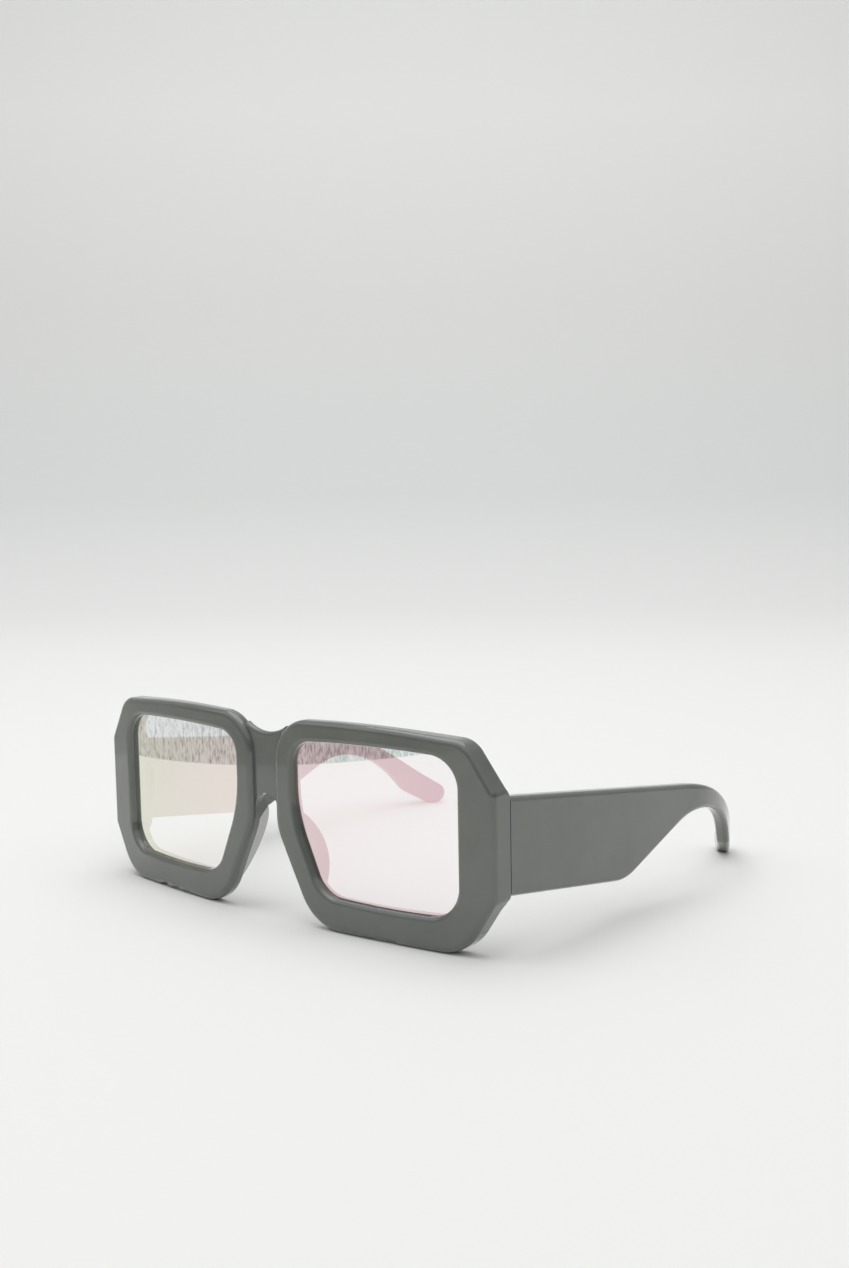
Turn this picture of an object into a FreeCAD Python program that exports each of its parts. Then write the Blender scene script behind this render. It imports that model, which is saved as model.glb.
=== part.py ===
import FreeCAD, Part
import math
import os

Vec = FreeCAD.Vector

# Oversized sunglasses, in millimetres. The pieces are drawn with the front upright: X runs to the
# wearer's left, Y from the front to the ears and Z up, with Z = 0 at the bottom of the rims.
# At the end everything is leaned forward a little, so that the rims and the ear tips stand on a floor.

# Lens openings
lens_width = 53.7
lens_height = 44.1
bridge_width = 22.0
lens_crown = 1.4
lens_sag = 0.7
lens_top_inner_radius = 7.0
lens_top_outer_radius = 8.5
lens_low_outer_radius = 9.0
lens_low_inner_radius = 9.5
lens_knee_height = 22.5
lens_knee_radius = 37.0
lens_nose_slope = 0.43
arch_radius = 350.0

# Rims
front_radius = 385.0
rim_nose_depth = 4.2
rim_top = 5.4
rim_bottom = 8.6
rim_side = 10.7
rim_nose = 6.4
rim_crown = 1.0
rim_top_inner_radius = 12.0
rim_top_outer_radius = 7.0
rim_shoulder_radius = 3.0
rim_low_outer_radius = 13.0
rim_low_inner_radius = 15.0
rim_knee_radius = 15.0
upper_corner_slope = 0.63
lower_corner_slope = 0.60
nose_slope = 0.50
rim_low_inner_reach = 17.7
rim_front_fillet = 1.8
rim_opening_fillet = 1.2
rim_back_fillet = 1.0
rim_groove_fillet = 0.3

# Bridge web
web_height = 22.0
web_rise = 2.2
web_setback = 1.7
web_depth = 2.4
web_overlap = 3.0
web_top_drop = 5.5
web_fillet = 1.0

# Lenses and their grooves
lens_setback = 2.0
lens_thickness = 1.4
groove_depth = 0.6
lens_clearance = 0.05

# Temples and their joint with the front
end_piece_depth = 6.9
end_piece_slope = 2.0
end_piece_overlap = 3.4
joint_gap = 0.3
hinge_height = 28.5
temple_height = 26.2
shoulder_rise = 1.4
temple_thickness = 4.2
temple_splay = 0.9
temple_fall = 0.138
temple_low_fall = 0.145
broad_length = 54.0
crest_reach = 105.4
crest_drop = 0.0
crest_radius = 33.0
step_radius = 18.0
ear_bend_lead = 2.1
ear_bend_radius = 68.0
ear_top_fall = 0.78
ear_under_fall = 1.3
heel_length = 18.6
heel_radius = 8.0
ear_length = 31.5
tip_slant = 1.5
tip_height = 8.0
tip_radius = 3.8
curl_lead = 12.2
curl_radius = 74.0
temple_outer_fillet = 1.5
temple_inner_fillet = 1.0

# Hinges
leaf_thickness = 0.9
leaf_height = 9.0
knuckle_radius = 1.7
knuckle_gap = 0.06
leaf_relief = 0.2
pivot_inset = 1.9
pivot_setback = 1.9
front_leaf_width = 5.2
temple_leaf_length = 11.0
pin_radius = 0.7
pin_clearance = 0.04
pin_head_radius = 1.3
pin_head_height = 0.6
slot_width = 0.3
slot_depth = 0.25
leaf_screw_radius = 0.5
leaf_screw_head_radius = 0.95
leaf_screw_head_height = 0.45
leaf_screw_length = 2.2
leaf_screw_spacing = 5.4
temple_screw_spacing = 4.6
temple_screw_margin = 0.6
screw_clearance = 0.05

# Nose pads
pad_length = 31.0
pad_bulge = 9.6
pad_thickness = 2.6
pad_sink = 1.2
pad_inset = 0.4
pad_height = 18.7
pad_flare = 20.0
pad_fillet = 1.1

# Floor
land_depth = 0.12

# How near two points count as one
match_tolerance = 1e-4


def corner_arcs(corners):
    """Start, middle and end of the round at each corner (a, b, radius) of a closed outline."""
    count = len(corners)
    points = [Vec(a, b, 0) for a, b, radius in corners]
    halves = []
    wanted = []
    for i in range(count):
        back = (points[i - 1] - points[i]).normalize()
        ahead = (points[(i + 1) % count] - points[i]).normalize()
        half = (math.pi - back.getAngle(ahead)) / 2
        halves.append(half)
        wanted.append(corners[i][2] * math.tan(half))
    share = []
    for i in range(count):
        room = 0.98 * (points[(i + 1) % count] - points[i]).Length
        share.append(room / max(room, wanted[i] + wanted[(i + 1) % count]))
    arcs = []
    for i in range(count):
        back = (points[i - 1] - points[i]).normalize()
        ahead = (points[(i + 1) % count] - points[i]).normalize()
        reach = wanted[i] * min(share[i - 1], share[i])
        radius = reach / math.tan(halves[i])
        inward = (back + ahead).normalize()
        centre = points[i] + inward * (radius / math.cos(halves[i]))
        arcs.append((points[i] + back * reach, centre - inward * radius, points[i] + ahead * reach))
    return arcs


def rounded_wire(corners, place):
    """Closed wire of straight runs and round corners, put in space by place(a, b)."""
    arcs = corner_arcs(corners)
    edges = []
    for i, (start, middle, end) in enumerate(arcs):
        onward = arcs[(i + 1) % len(arcs)][0]
        bend = [place(point.x, point.y) for point in (start, middle, end, onward)]
        if corners[i][2] > 0:
            edges.append(Part.Arc(bend[0], bend[1], bend[2]).toShape())
        edges.append(Part.LineSegment(bend[2], bend[3]).toShape())
    return Part.Wire(edges)


def on_front(a, b):
    return Vec(a, 0, b)


def on_side(a, b):
    return Vec(0, a, b)


def through(wire):
    """Solid that runs through the whole front along Y."""
    block = Part.Face(wire).extrude(Vec(0, 2 * through_reach, 0))
    block.translate(Vec(0, -through_reach, 0))
    return block


def bow(radius, x):
    """How far back a curve of this radius has run at a place x from the middle."""
    return radius - math.sqrt(radius ** 2 - x ** 2)


def bow_radius(x, run):
    """Radius of the curve that has run back this far at x."""
    return (x ** 2 + run ** 2) / (2 * run)


def behind(radius, drop):
    """All that lies behind a curved surface that starts this far back in the middle."""
    return Part.makeCylinder(radius, shell_height, Vec(0, drop + radius, shell_base))


def loops_on_cylinder(solid, radius):
    """Outer and inner edge loops of the curved face that has this radius."""
    for face in solid.Faces:
        if isinstance(face.Surface, Part.Cylinder) and abs(face.Surface.Radius - radius) < match_tolerance:
            outer = face.OuterWire
            inner = [edge for wire in face.Wires if not wire.isSame(outer) for edge in wire.Edges]
            return outer.Edges, inner
    raise ValueError("no curved face of radius %g" % radius)


def mirrored(shape):
    return shape.mirror(Vec(0, 0, 0), Vec(1, 0, 0))


# Places worked out from the driving dimensions
opening_inner = bridge_width / 2
opening_outer = opening_inner + lens_width
opening_middle = (opening_inner + opening_outer) / 2
opening_low = rim_bottom
opening_top = opening_low + lens_height
rim_inner = opening_inner - rim_nose
rim_outer = opening_outer + rim_side
front_top = opening_top + rim_top
temple_top = hinge_height + temple_height / 2
temple_low = hinge_height - temple_height / 2
shoulder_top = temple_top + shoulder_rise
front_edge_y = bow(front_radius, rim_outer)
joint_y = front_edge_y + end_piece_depth
temple_y = joint_y + joint_gap
temple_inner_x = rim_outer - temple_thickness
ear_bend_reach = crest_reach + ear_bend_lead
heel_reach = crest_reach + heel_length
tip_low_reach = crest_reach + ear_length
tip_top_reach = tip_low_reach + tip_slant
curl_start = crest_reach - curl_lead
pivot = Vec(temple_inner_x - pivot_inset, joint_y + pivot_setback, hinge_height)
leaf_low = hinge_height - leaf_height / 2
knuckle_height = (leaf_height - 2 * knuckle_gap) / 3
through_reach = 3 * joint_y
shell_height = 3 * front_top
shell_base = -front_top
back_radius = bow_radius(rim_outer, joint_y - rim_nose_depth)


def opening_corners():
    knee = opening_low + lens_knee_height
    low_inner = opening_inner + lens_nose_slope * lens_knee_height
    return [
        (opening_inner, opening_top - lens_crown, lens_top_inner_radius),
        (opening_inner, knee, lens_knee_radius),
        (low_inner, opening_low + lens_sag, lens_low_inner_radius),
        ((low_inner + opening_outer) / 2, opening_low, arch_radius),
        (opening_outer, opening_low + lens_sag, lens_low_outer_radius),
        (opening_outer, opening_top - lens_crown, lens_top_outer_radius),
        (opening_middle, opening_top, arch_radius),
    ]


def rim_corners():
    knee = (rim_low_inner_reach - rim_inner) / nose_slope
    top_outer = front_top - 2 * rim_crown
    return [
        (rim_inner, front_top - rim_crown, rim_top_inner_radius),
        (rim_inner, knee, rim_knee_radius),
        (rim_low_inner_reach, 0, rim_low_inner_radius),
        (rim_outer - lower_corner_slope * temple_low, 0, rim_low_outer_radius),
        (rim_outer, temple_low, rim_shoulder_radius),
        (rim_outer, shoulder_top, rim_shoulder_radius),
        (rim_outer - upper_corner_slope * (top_outer - shoulder_top), top_outer, rim_top_outer_radius),
        (opening_middle, front_top, arch_radius),
    ]


opening_wire = rounded_wire(opening_corners(), on_front)
rim_wire = rounded_wire(rim_corners(), on_front)


def make_rim():
    """One puffed rim ring, bowed to the front's radius, with soft edges."""
    slab = behind(front_radius, 0).cut(behind(back_radius, rim_nose_depth))
    rim = through(rim_wire).cut(through(opening_wire)).common(slab).Solids[0]
    outer, inner = loops_on_cylinder(rim, front_radius)
    rim = rim.makeFillet(rim_front_fillet, outer)
    outer, inner = loops_on_cylinder(rim, front_radius)
    rim = rim.makeFillet(rim_opening_fillet, inner)
    outer, inner = loops_on_cylinder(rim, back_radius)
    rim = rim.makeFillet(rim_back_fillet, outer)
    outer, inner = loops_on_cylinder(rim, back_radius)
    return rim.makeFillet(rim_groove_fillet, inner)


def make_end_piece():
    """Flat-backed block behind the rim's side, which carries the hinge and meets the temple."""
    start = joint_y - end_piece_overlap
    spread = end_piece_slope * end_piece_overlap
    profile = [
        on_side(start, temple_top + spread),
        on_side(joint_y, temple_top),
        on_side(joint_y, temple_low),
        on_side(start, temple_low - spread),
    ]
    block = Part.Face(Part.makePolygon(profile + profile[:1])).extrude(Vec(2 * rim_outer, 0, 0))
    block.translate(Vec(opening_outer + rim_opening_fillet, 0, 0))
    return block.common(through(rim_wire))


def make_web():
    """Set-back web between the rims, with a hollowed top."""
    top = front_top - web_top_drop
    half = rim_inner + web_overlap
    low = top - web_height
    left_top = on_front(half, top + web_rise)
    right_top = on_front(-half, top + web_rise)
    sides = Part.makePolygon([left_top, on_front(half, low), on_front(-half, low), right_top])
    saddle = Part.Arc(right_top, on_front(0, top), left_top).toShape()
    block = through(Part.Wire([sides, saddle]))
    slab = behind(front_radius, web_setback).cut(behind(front_radius, web_setback + web_depth))
    web = block.common(slab).Solids[0]
    edges = []
    for edge in web.Edges:
        first, last = edge.ParameterRange
        middle = edge.valueAt((first + last) / 2)
        if abs(middle.x) < match_tolerance and abs(middle.z - top) < match_tolerance:
            edges.append(edge)
    return web.makeFillet(min(web_fillet, 0.45 * web_depth), edges)


def make_nose_arch():
    low = front_top - web_top_drop - web_height
    return Part.makeCylinder(rim_inner, 2 * through_reach, Vec(0, -through_reach, low), Vec(0, 1, 0))


def make_lens(grow, clearance):
    """Curved lens, its outline grown past the opening, with some clearance before and behind it."""
    wire = opening_wire.makeOffset2D(grow)
    front_drop = lens_setback - clearance
    back_drop = lens_setback + lens_thickness + clearance
    slab = behind(front_radius - front_drop, front_drop).cut(behind(front_radius - back_drop, back_drop))
    return through(wire).common(slab).Solids[0]


def make_front():
    half = make_rim().fuse(make_end_piece())
    half = half.cut(make_lens(groove_depth, lens_clearance))
    whole = half.fuse([mirrored(half), make_web()]).cut(make_nose_arch())
    return whole.removeSplitter().Solids[0]


def screw_line(count_spacing):
    return [hinge_height - count_spacing / 2, hinge_height + count_spacing / 2]


def front_screw_places():
    x = pivot.x - knuckle_radius - leaf_relief - leaf_screw_head_radius
    return [Vec(x, joint_y + leaf_thickness, z) for z in screw_line(leaf_screw_spacing)]


def temple_screw_places():
    first = pivot.y + knuckle_radius + leaf_relief + leaf_screw_head_radius + temple_screw_margin
    places = []
    for i in range(2):
        places.append(Vec(temple_inner_x - leaf_thickness, first + i * temple_screw_spacing, hinge_height))
    return places


def make_leaf_screw(head_top, inward):
    """Small slotted screw whose head lies on a leaf and whose shank runs into the plastic."""
    head = Part.makeCylinder(leaf_screw_head_radius, leaf_screw_head_height, head_top, inward * -1)
    shank = Part.makeCylinder(leaf_screw_radius, leaf_screw_length + leaf_thickness, head_top, inward)
    screw = head.fuse(shank).removeSplitter()
    slot = Part.makeBox(slot_width, 2 * leaf_screw_head_radius, slot_depth)
    slot.translate(Vec(-slot_width / 2, -leaf_screw_head_radius, 0))
    slot.Placement = FreeCAD.Placement(
        head_top - inward * leaf_screw_head_height, FreeCAD.Rotation(Vec(0, 0, 1), inward)
    ).multiply(slot.Placement)
    return screw.cut(slot)


def screw_hole(head_top, inward):
    depth = leaf_screw_length + leaf_thickness + screw_clearance
    return Part.makeCylinder(leaf_screw_radius + screw_clearance, depth, head_top, inward)


def knuckle(index, radius):
    low = leaf_low + index * (knuckle_height + knuckle_gap)
    return Part.makeCylinder(radius, knuckle_height, Vec(pivot.x, pivot.y, low))


def knuckle_relief(index):
    low = leaf_low + index * (knuckle_height + knuckle_gap) - knuckle_gap
    height = knuckle_height + 2 * knuckle_gap
    return Part.makeCylinder(knuckle_radius + leaf_relief, height, Vec(pivot.x, pivot.y, low))


def pin_hole(radius):
    return Part.makeCylinder(radius, 3 * leaf_height, Vec(pivot.x, pivot.y, leaf_low - leaf_height))


def make_front_leaf():
    """Leaf on the back of the end piece, with the upper and lower knuckles."""
    right = pivot.x + knuckle_radius
    plate = Part.makeBox(
        front_leaf_width + knuckle_radius, leaf_thickness, leaf_height,
        Vec(right - front_leaf_width - knuckle_radius, joint_y, leaf_low),
    )
    bridge_plate = Part.makeBox(
        2 * knuckle_radius, pivot_setback, leaf_height, Vec(pivot.x - knuckle_radius, joint_y, leaf_low)
    )
    leaf = plate.fuse([bridge_plate, knuckle(0, knuckle_radius), knuckle(2, knuckle_radius)])
    leaf = leaf.cut([knuckle_relief(1), pin_hole(pin_radius)])
    leaf = leaf.cut([screw_hole(place, Vec(0, -1, 0)) for place in front_screw_places()])
    return leaf.removeSplitter().Solids[0]


def make_temple_leaf():
    """Leaf on the inner face of the temple, with the middle knuckle."""
    plate = Part.makeBox(
        leaf_thickness, temple_leaf_length, leaf_height,
        Vec(temple_inner_x - leaf_thickness, pivot.y, leaf_low),
    )
    low = leaf_low + knuckle_height + knuckle_gap
    arm = Part.makeBox(pivot_inset, knuckle_radius, knuckle_height, Vec(pivot.x, pivot.y, low))
    leaf = plate.fuse([arm, knuckle(1, knuckle_radius)])
    leaf = leaf.cut([knuckle_relief(0), knuckle_relief(2), pin_hole(pin_radius + pin_clearance)])
    leaf = leaf.cut([screw_hole(place, Vec(1, 0, 0)) for place in temple_screw_places()])
    return leaf.removeSplitter().Solids[0]


def make_hinge_screw():
    """Slotted screw through the three knuckles."""
    top = leaf_low + leaf_height
    shank = Part.makeCylinder(pin_radius, leaf_height, Vec(pivot.x, pivot.y, leaf_low))
    head = Part.makeCylinder(pin_head_radius, pin_head_height, Vec(pivot.x, pivot.y, top))
    slot = Part.makeBox(
        2 * pin_head_radius, slot_width, slot_depth,
        Vec(pivot.x - pin_head_radius, pivot.y - slot_width / 2, top + pin_head_height - slot_depth),
    )
    return shank.fuse(head).removeSplitter().cut(slot)


def temple_corners():
    """Side outline of a temple, from the joint to the ear tip."""
    notch_z = temple_low - temple_low_fall * broad_length
    crest_z = temple_top - temple_fall * crest_reach - crest_drop
    bend_z = temple_top - temple_fall * ear_bend_reach
    tip_z = bend_z - ear_top_fall * (tip_top_reach - ear_bend_reach)
    return [
        (temple_y, temple_top, 0),
        (temple_y, temple_low, 0),
        (joint_y + broad_length, notch_z, step_radius),
        (joint_y + crest_reach, crest_z, crest_radius),
        (joint_y + heel_reach, crest_z - ear_under_fall * heel_length, heel_radius),
        (joint_y + tip_low_reach, tip_z - tip_height, tip_radius),
        (joint_y + tip_top_reach, tip_z, tip_radius),
        (joint_y + ear_bend_reach, bend_z, ear_bend_radius),
    ]


def plan_edges(offset):
    """Plan line of a temple face: straight and splayed, then curled in behind the ear."""
    along = Vec(math.sin(math.radians(temple_splay)), math.cos(math.radians(temple_splay)), 0)
    inward = Vec(-along.y, along.x, 0)
    start = Vec(rim_outer, temple_y, 0) + inward * offset
    bend = start + along * curl_start
    centre = bend + inward * (curl_radius - offset)
    points = []
    for degrees in (30, 60):
        turn = math.radians(degrees)
        out = inward * -math.cos(turn) + along * math.sin(turn)
        points.append(centre + out * (curl_radius - offset))
    return [Part.LineSegment(start, bend).toShape(), Part.Arc(bend, points[0], points[1]).toShape()]


def make_temple():
    """Broad flat arm with a narrow ear piece, curled in plan and softly rounded."""
    outer = plan_edges(0)
    inner = plan_edges(temple_thickness)
    ends = [
        Part.LineSegment(outer[1].Vertexes[1].Point, inner[1].Vertexes[1].Point).toShape(),
        Part.LineSegment(inner[0].Vertexes[0].Point, outer[0].Vertexes[0].Point).toShape(),
    ]
    plan = Part.Wire(Part.__sortEdges__(outer + inner + ends))
    rise = Vec(0, 0, 4 * front_top)
    slab = Part.Face(plan).extrude(rise)
    slab.translate(rise * -0.5)
    profile = Part.Face(rounded_wire(temple_corners(), on_side)).extrude(Vec(2 * rim_outer, 0, 0))
    temple = profile.common(slab).Solids[0]
    outer_radius = min(temple_outer_fillet, 0.6 * temple_thickness)
    inner_radius = min(temple_inner_fillet, 0.3 * temple_thickness)
    for edges, radius in ((outer, outer_radius), (inner, inner_radius)):
        skin = Part.Wire(edges).extrude(rise)
        skin.translate(rise * -0.5)
        temple = temple.makeFillet(radius, skin_edges(temple, skin))
    return temple


def skin_edges(solid, skin):
    """Edges that border the part of a solid lying on a skin, but not its front end or its seams."""
    chosen = []
    for edge in solid.Edges:
        first, last = edge.ParameterRange
        middle = edge.valueAt((first + last) / 2)
        ends = [vertex.Point for vertex in edge.Vertexes]
        level = math.hypot(ends[0].x - ends[-1].x, ends[0].y - ends[-1].y)
        gaps = [skin.distToShape(Part.Vertex(point))[0] for point in ends + [middle]]
        behind_end = middle.y > temple_y + match_tolerance
        if max(gaps) < match_tolerance and level > match_tolerance and behind_end:
            chosen.append(edge)
    return chosen


def make_nose_pad(front):
    """Flared lobe behind the nose side of a rim, meeting the rim face to face."""
    steep = math.atan(nose_slope)
    down = Vec(math.sin(steep), 0, -math.cos(steep))
    outward = Vec(math.cos(steep), 0, math.sin(steep))
    flare = math.radians(pad_flare)
    back = Vec(0, math.cos(flare), 0) + outward * math.sin(flare)
    normal = outward * math.cos(flare) - Vec(0, math.sin(flare), 0)
    edge_x = rim_low_inner_reach - nose_slope * pad_height
    root = Vec(edge_x, rim_nose_depth - pad_sink, pad_height) + outward * pad_inset
    first = root - down * (pad_length / 2)
    last = root + down * (pad_length / 2)
    lobe = Part.Arc(first, root + back * pad_bulge, last).toShape()
    chord = Part.LineSegment(last, first).toShape()
    pad = Part.Face(Part.Wire([lobe, chord])).extrude(normal * pad_thickness)
    edges = [edge for edge in pad.Edges if isinstance(edge.Curve, Part.Circle)]
    return pad.makeFillet(pad_fillet, edges).common(through(rim_wire)).cut(front).Solids[0]


# Build the left side, then mirror it
front = make_front()
left = {
    "lens": make_lens(groove_depth - lens_clearance, 0),
    "temple": make_temple(),
    "front_hinge_leaf": make_front_leaf(),
    "temple_hinge_leaf": make_temple_leaf(),
    "hinge_screw": make_hinge_screw(),
    "front_leaf_screws": Part.makeCompound(
        [make_leaf_screw(place, Vec(0, -1, 0)) for place in front_screw_places()]
    ),
    "temple_leaf_screws": Part.makeCompound(
        [make_leaf_screw(place, Vec(1, 0, 0)) for place in temple_screw_places()]
    ),
    "nose_pad": make_nose_pad(front),
}
front_holes = [screw_hole(place, Vec(0, -1, 0)) for place in front_screw_places()]
front = front.cut(front_holes + [mirrored(hole) for hole in front_holes]).Solids[0]
temple_holes = [screw_hole(place, Vec(1, 0, 0)) for place in temple_screw_places()]
left["temple"] = left["temple"].cut(temple_holes).Solids[0]

nodes = {"front_frame": front}
for name, shape in left.items():
    nodes["left_" + name] = shape
    nodes["right_" + name] = mirrored(shape)

# Lean everything forward until the rims and the ear tips are level
tip = corner_arcs(temple_corners())[5]
tip_low_z = left["temple"].optimalBoundingBox(False, False).ZMin
rest_y = rim_front_fillet
lean = math.degrees(math.atan2(-tip_low_z, tip[1].x - rest_y))
for shape in nodes.values():
    shape.rotate(Vec(0, 0, 0), Vec(1, 0, 0), lean)
box = Part.makeCompound(list(nodes.values())).optimalBoundingBox(False, False)
shift = Vec(0, -(box.YMin + box.YMax) / 2, -box.ZMin - land_depth)
floor_corner = Vec(-2 * rim_outer, -2 * box.YLength, -front_top)
floor = Part.makeBox(4 * rim_outer, 4 * box.YLength, front_top, floor_corner)
os.makedirs("parts", exist_ok=True)
for name, shape in nodes.items():
    shape.translate(shift)
    if name in ("front_frame", "left_temple", "right_temple"):
        shape = shape.cut(floor).Solids[0]
    shape.exportStep("parts/%s.step" % name)
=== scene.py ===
import math
import bpy
from mathutils import Matrix, Vector

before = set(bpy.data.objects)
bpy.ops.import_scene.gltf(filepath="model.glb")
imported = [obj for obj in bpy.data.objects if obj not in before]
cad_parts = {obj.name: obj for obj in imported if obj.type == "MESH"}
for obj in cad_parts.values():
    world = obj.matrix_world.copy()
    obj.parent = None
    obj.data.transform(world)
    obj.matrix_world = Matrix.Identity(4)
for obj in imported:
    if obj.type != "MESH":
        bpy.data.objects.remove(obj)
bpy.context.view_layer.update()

# Camera, in metres and degrees; the photograph is 849 by 1268 pixels
photo_height_px = 1268
focal_px = 1450.1
sensor_mm = 36.0
camera_place = Vector((0.29093, -0.35280, 0.11677))
camera_azimuth = 39.948
camera_elevation = 5.312
camera_roll = -0.316
nearest_seen = 0.01
farthest_seen = 20.0

# Plastic of the front, the temples and the nose pads
plastic_dark = (0.114, 0.124, 0.111)
plastic_light = (0.137, 0.147, 0.133)
cloud_scale = 60.0
cloud_detail = 4.0
cloud_dark_end = 0.3
cloud_light_end = 0.7
grain_scale = 900.0
grain_detail = 3.0
plastic_roughness = (0.07, 0.14)
wave_scale = 120.0
wave_strength = 0.05
wave_depth = 0.0004
coat_weight = 0.7
coat_roughness = 0.03
plastic_ior = 1.5

# Lens coating: what passes and what is mirrored, from straight on (0) to edge on (1)
lens_passes = [
    (0.10, (0.25, 0.47, 0.42)),
    (0.28, (0.24, 0.38, 0.36)),
    (0.36, (0.15, 0.25, 0.28)),
    (0.56, (0.22, 0.22, 0.32)),
]
lens_mirrors = [
    (0.10, (0.75, 0.50, 0.56)),
    (0.28, (0.76, 0.58, 0.61)),
    (0.36, (0.84, 0.74, 0.71)),
    (0.56, (0.76, 0.77, 0.66)),
]
lens_drift = 0.03
lens_drift_scale = 40.0
lens_drift_detail = 1.0
lens_roughness = 0.02

# Blackened metal of the hinges
leaf_color = (0.10, 0.10, 0.095)
screw_color = (0.16, 0.16, 0.155)
brush_scale = (400.0, 400.0, 4000.0)
brush_detail = 3.0
brush_dark_end = 0.2
brush_light_end = 0.8
brush_dark_share = 0.85
metal_roughness = (0.22, 0.42)

# Paper sweep, with painted shade by height: darker partway up the wall, lighter on the floor and higher
# up, standing in for uneven light on the paper
floor_half_width = 8.0
floor_front = -8.0
sweep_start = 0.55
sweep_radius = 0.9
sweep_steps = 24
wall_height = 3.0
paper_painted_shade = [
    (0.0, (0.875, 0.875, 0.865)),
    (0.025, (0.80, 0.805, 0.80)),
    (0.12, (0.72, 0.735, 0.733)),
    (0.2, (0.735, 0.75, 0.747)),
    (0.35, (0.79, 0.795, 0.786)),
    (0.6, (0.91, 0.915, 0.902)),
]
paper_roughness = 0.9

# Room: its light from the horizon (0) to overhead (1), and the shade that the camera sees past the paper
room_levels = [(0.0, 0.14), (0.08, 0.30), (0.16, 0.12), (0.40, 0.16), (0.50, 0.80), (1.0, 0.80)]
room_blue_share = 0.99
room_seen = (0.50, 0.505, 0.50)
room_bright_side = (-0.2, -0.3, 0.0)

# Lamps
ceiling_place = (-0.10, -0.05, 1.2)
ceiling_size = (1.1, 1.1)
ceiling_watts = 6.3
backdrop_distance = 0.5
backdrop_height = 1.6
backdrop_aim_height = 0.8
backdrop_size = (1.4, 0.4)
backdrop_watts = 2.8

# Low card on the floor that the camera doesn't see and only the lenses and the gloss reflect
card_ends = [Vector((-0.30, -0.096, 0.0)), Vector((0.03, -0.352, 0.0))]
card_height = 0.06
card_roughness = 0.9
streak_shades = [(0.36, (0.38, 0.36, 0.36)), (0.5, (0.70, 0.68, 0.68)), (0.62, (0.94, 0.94, 0.92))]
streak_scale = (760.0, 760.0, 300.0)
streak_detail = 6.0
streak_fade_end = -0.08
streak_fade = 0.12

# Worked out
facing_camera = Matrix.Rotation(math.radians(camera_azimuth), 4, "Z")
wall_distance = sweep_start + sweep_radius


class Nodes:
    """Short way to add nodes to a node tree and to fill their inputs."""

    def __init__(self, tree):
        self.tree = tree

    def fill(self, socket, value):
        if isinstance(value, bpy.types.NodeSocket):
            self.tree.links.new(value, socket)
        else:
            socket.default_value = value

    def node(self, kind, **inputs):
        made = self.tree.nodes.new("ShaderNode" + kind)
        for key, value in inputs.items():
            self.fill(made.inputs[key.replace("_", " ")], value)
        return made

    def combine(self, kind, *values, **settings):
        """Node whose inputs share a name, so that they are filled in order."""
        made = self.tree.nodes.new("ShaderNode" + kind)
        for key, value in settings.items():
            setattr(made, key, value)
        for socket, value in zip(made.inputs, values):
            self.fill(socket, value)
        return made

    def ramp(self, factor, stops):
        made = self.node("ValToRGB", Fac=factor)
        elements = made.color_ramp.elements
        while len(elements) < len(stops):
            elements.new(0.5)
        for element, (place, color) in zip(elements, stops):
            element.position = place
            element.color = (*color, 1.0)
        return made.outputs["Color"]

    def noise(self, place, scale, detail=2.0):
        return self.node("TexNoise", Vector=place, Scale=scale, Detail=detail).outputs["Fac"]

    def spread(self, value, low, high):
        """Value from 0 to 1 turned into one from low to high."""
        return self.node("MapRange", Value=value, To_Min=low, To_Max=high).outputs["Result"]

    def object_place(self):
        return self.node("TexCoord").outputs["Object"]


class Shader(Nodes):
    """Node material."""

    def __init__(self, name):
        self.material = bpy.data.materials.new(name)
        self.material.use_nodes = True
        super().__init__(self.material.node_tree)
        self.tree.nodes.clear()

    def finish(self, surface):
        self.node("OutputMaterial", Surface=surface)
        return self.material


def gloss_plastic(name):
    """Polished moulded plastic: faint cloudiness in the colour and a soft waviness in the polish."""
    s = Shader(name)
    place = s.object_place()
    cloud = s.noise(place, cloud_scale, cloud_detail)
    color = s.ramp(cloud, [(cloud_dark_end, plastic_dark), (cloud_light_end, plastic_light)])
    rough = s.spread(s.noise(place, grain_scale, grain_detail), *plastic_roughness)
    wave = s.node("Bump", Strength=wave_strength, Distance=wave_depth, Height=s.noise(place, wave_scale))
    body = s.node(
        "BsdfPrincipled",
        Base_Color=color,
        Roughness=rough,
        Normal=wave.outputs["Normal"],
        IOR=plastic_ior,
        Coat_Weight=coat_weight,
        Coat_Roughness=coat_roughness,
    )
    return s.finish(body.outputs["BSDF"])


def lens_coating(name):
    """Clear lens with a flash coating: pink seen straight on, pale green seen at a slant."""
    s = Shader(name)
    cloud = s.noise(s.object_place(), lens_drift_scale, lens_drift_detail)
    drift = s.spread(cloud, -lens_drift, lens_drift)
    facing = s.node("LayerWeight", Blend=0.5).outputs["Facing"]
    slant = s.combine("Math", facing, drift, operation="ADD").outputs["Value"]
    clear = s.node("BsdfTransparent", Color=s.ramp(slant, lens_passes))
    gloss = s.node("BsdfGlossy", Color=s.ramp(slant, lens_mirrors), Roughness=lens_roughness)
    coat = s.combine("AddShader", clear.outputs["BSDF"], gloss.outputs["BSDF"])
    leave = s.node("BsdfTransparent", Color=(1.0, 1.0, 1.0, 1.0))
    inside = s.node("NewGeometry").outputs["Backfacing"]
    mix = s.combine("MixShader", inside, coat.outputs["Shader"], leave.outputs["BSDF"])
    return s.finish(mix.outputs["Shader"])


def brushed_metal(name, color):
    s = Shader(name)
    stretch = s.node("Mapping", Vector=s.object_place(), Scale=brush_scale)
    grain = s.noise(stretch.outputs["Vector"], 1.0, brush_detail)
    dark = tuple(brush_dark_share * c for c in color)
    body = s.node(
        "BsdfPrincipled",
        Base_Color=s.ramp(grain, [(brush_dark_end, dark), (brush_light_end, color)]),
        Roughness=s.spread(grain, *metal_roughness),
        Metallic=1.0,
    )
    return s.finish(body.outputs["BSDF"])


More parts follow.
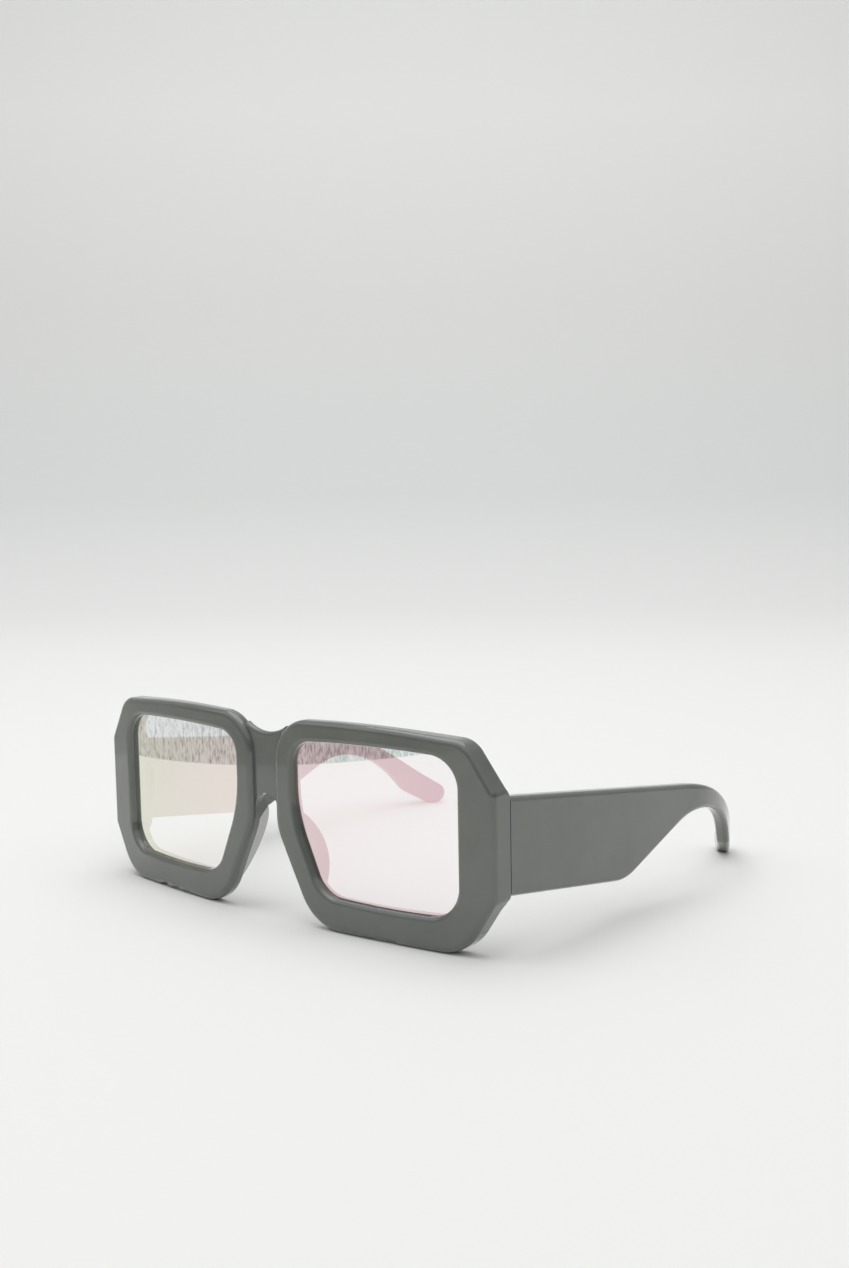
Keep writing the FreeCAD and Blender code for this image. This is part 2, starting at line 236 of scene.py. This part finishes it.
def paper(name):
    """Seamless pale sweep with painted shade: its colour is darker partway up the wall and lighter on the
    floor and higher up, standing in for uneven light.
    """
    s = Shader(name)
    split = s.node("SeparateXYZ", Vector=s.node("NewGeometry").outputs["Position"])
    # Painted shade: the paper's colour by height stands in for the uneven light falling on it
    color = s.ramp(split.outputs["Z"], paper_painted_shade)
    body = s.node("BsdfPrincipled", Base_Color=color, Roughness=paper_roughness)
    return s.finish(body.outputs["BSDF"])


def streaks(name):
    """Crumpled pale card with dark streaks that fade toward its first end."""
    s = Shader(name)
    place = s.object_place()
    stretch = s.node("Mapping", Vector=place, Scale=streak_scale)
    along = s.node("SeparateXYZ", Vector=place).outputs["X"]
    fade = s.node(
        "MapRange",
        Value=along,
        From_Min=card_ends[0].x,
        From_Max=streak_fade_end,
        To_Min=streak_fade,
        To_Max=0.0,
    )
    grain = s.noise(stretch.outputs["Vector"], 1.0, streak_detail)
    shade = s.combine("Math", grain, fade.outputs["Result"], operation="ADD").outputs["Value"]
    body = s.node("BsdfPrincipled", Base_Color=s.ramp(shade, streak_shades), Roughness=card_roughness)
    return s.finish(body.outputs["BSDF"])


def give(name, material):
    mesh = bpy.data.objects[name].data
    mesh.materials.clear()
    mesh.materials.append(material)


def dress_nodes():
    plastic = gloss_plastic("grey_green_plastic")
    lens = lens_coating("flash_lens")
    leaf = brushed_metal("hinge_steel", leaf_color)
    screw = brushed_metal("screw_steel", screw_color)
    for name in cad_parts:
        if "screw" in name:
            give(name, screw)
        elif "leaf" in name:
            give(name, leaf)
        elif "lens" in name:
            give(name, lens)
        else:
            give(name, plastic)


def make_sweep():
    """Floor that curves up into a wall, turned to face the camera."""
    profile = [(floor_front, 0.0), (sweep_start, 0.0)]
    for i in range(1, sweep_steps + 1):
        turn = math.radians(90.0 * i / sweep_steps)
        profile.append((sweep_start + sweep_radius * math.sin(turn), sweep_radius * (1 - math.cos(turn))))
    profile.append((wall_distance, wall_height))
    points = []
    for side in (-floor_half_width, floor_half_width):
        points += [facing_camera @ Vector((side, y, z)) for y, z in profile]
    count = len(profile)
    faces = [(i, i + 1, count + i + 1, count + i) for i in range(count - 1)]
    mesh = bpy.data.meshes.new("sweep")
    mesh.from_pydata(points, [], faces)
    for polygon in mesh.polygons:
        polygon.use_smooth = True
    sweep = bpy.data.objects.new("sweep", mesh)
    bpy.context.collection.objects.link(sweep)
    mesh.materials.append(paper("sweep_paper"))


def make_card():
    rise = Vector((0.0, 0.0, card_height))
    first, last = card_ends
    mesh = bpy.data.meshes.new("card")
    mesh.from_pydata([first, last, last + rise, first + rise], [], [(0, 1, 2, 3)])
    mesh.materials.append(streaks("card_streaks"))
    card = bpy.data.objects.new("card", mesh)
    bpy.context.collection.objects.link(card)
    card.visible_camera = False
    card.visible_diffuse = False
    card.visible_shadow = False


def light_room():
    """World light with a dark band above the horizon for the gloss to mirror, brighter toward one side."""
    world = bpy.data.worlds.new("room")
    world.use_nodes = True
    s = Nodes(world.node_tree)
    toward = s.node("TexCoord").outputs["Generated"]
    height = s.node("SeparateXYZ", Vector=toward).outputs["Z"]
    shades = [(place, (level, level, room_blue_share * level)) for place, level in room_levels]
    levels = s.ramp(height, shades)
    by_camera = s.node("LightPath").outputs["Is Camera Ray"]
    color = s.node("MixRGB", Fac=by_camera, Color1=levels, Color2=(*room_seen, 1.0)).outputs["Color"]
    side = s.combine("VectorMath", toward, room_bright_side, operation="DOT_PRODUCT").outputs["Value"]
    strength = s.combine("Math", side, 1.0, operation="ADD").outputs["Value"]
    background = world.node_tree.nodes["Background"]
    s.fill(background.inputs["Color"], color)
    s.fill(background.inputs["Strength"], strength)
    bpy.context.scene.world = world


def area_light(name, place, target, size, power):
    data = bpy.data.lights.new(name, "AREA")
    data.shape = "RECTANGLE"
    data.size, data.size_y = size
    data.energy = power
    lamp = bpy.data.objects.new(name, data)
    lamp.location = place
    lamp.rotation_mode = "QUATERNION"
    lamp.rotation_quaternion = (Vector(target) - Vector(place)).to_track_quat("-Z", "Y")
    bpy.context.collection.objects.link(lamp)


def light_stage():
    area_light("ceiling", ceiling_place, (0.0, 0.0, 0.0), ceiling_size, ceiling_watts)
    place = facing_camera @ Vector((0.0, wall_distance - backdrop_distance, backdrop_height))
    target = facing_camera @ Vector((0.0, wall_distance, backdrop_aim_height))
    area_light("backdrop", place, target, backdrop_size, backdrop_watts)


def make_camera():
    azimuth, elevation, roll = (math.radians(v) for v in (camera_azimuth, camera_elevation, camera_roll))
    level_back = Vector((math.sin(azimuth), -math.cos(azimuth), 0.0))
    back = level_back * math.cos(elevation) + Vector((0.0, 0.0, math.sin(elevation)))
    level = Vector((math.cos(azimuth), math.sin(azimuth), 0.0))
    across = level * math.cos(roll) + back.cross(level) * math.sin(roll)
    turn = Matrix((across, back.cross(across), back)).transposed()
    data = bpy.data.cameras.new("camera")
    data.sensor_width = sensor_mm
    data.lens = sensor_mm * focal_px / photo_height_px
    data.clip_start = nearest_seen
    data.clip_end = farthest_seen
    camera = bpy.data.objects.new("camera", data)
    camera.matrix_world = Matrix.Translation(camera_place) @ turn.to_4x4()
    bpy.context.collection.objects.link(camera)
    bpy.context.scene.camera = camera


dress_nodes()
make_sweep()
make_card()
light_room()
light_stage()
make_camera()
bpy.context.scene.view_settings.view_transform = "Standard"
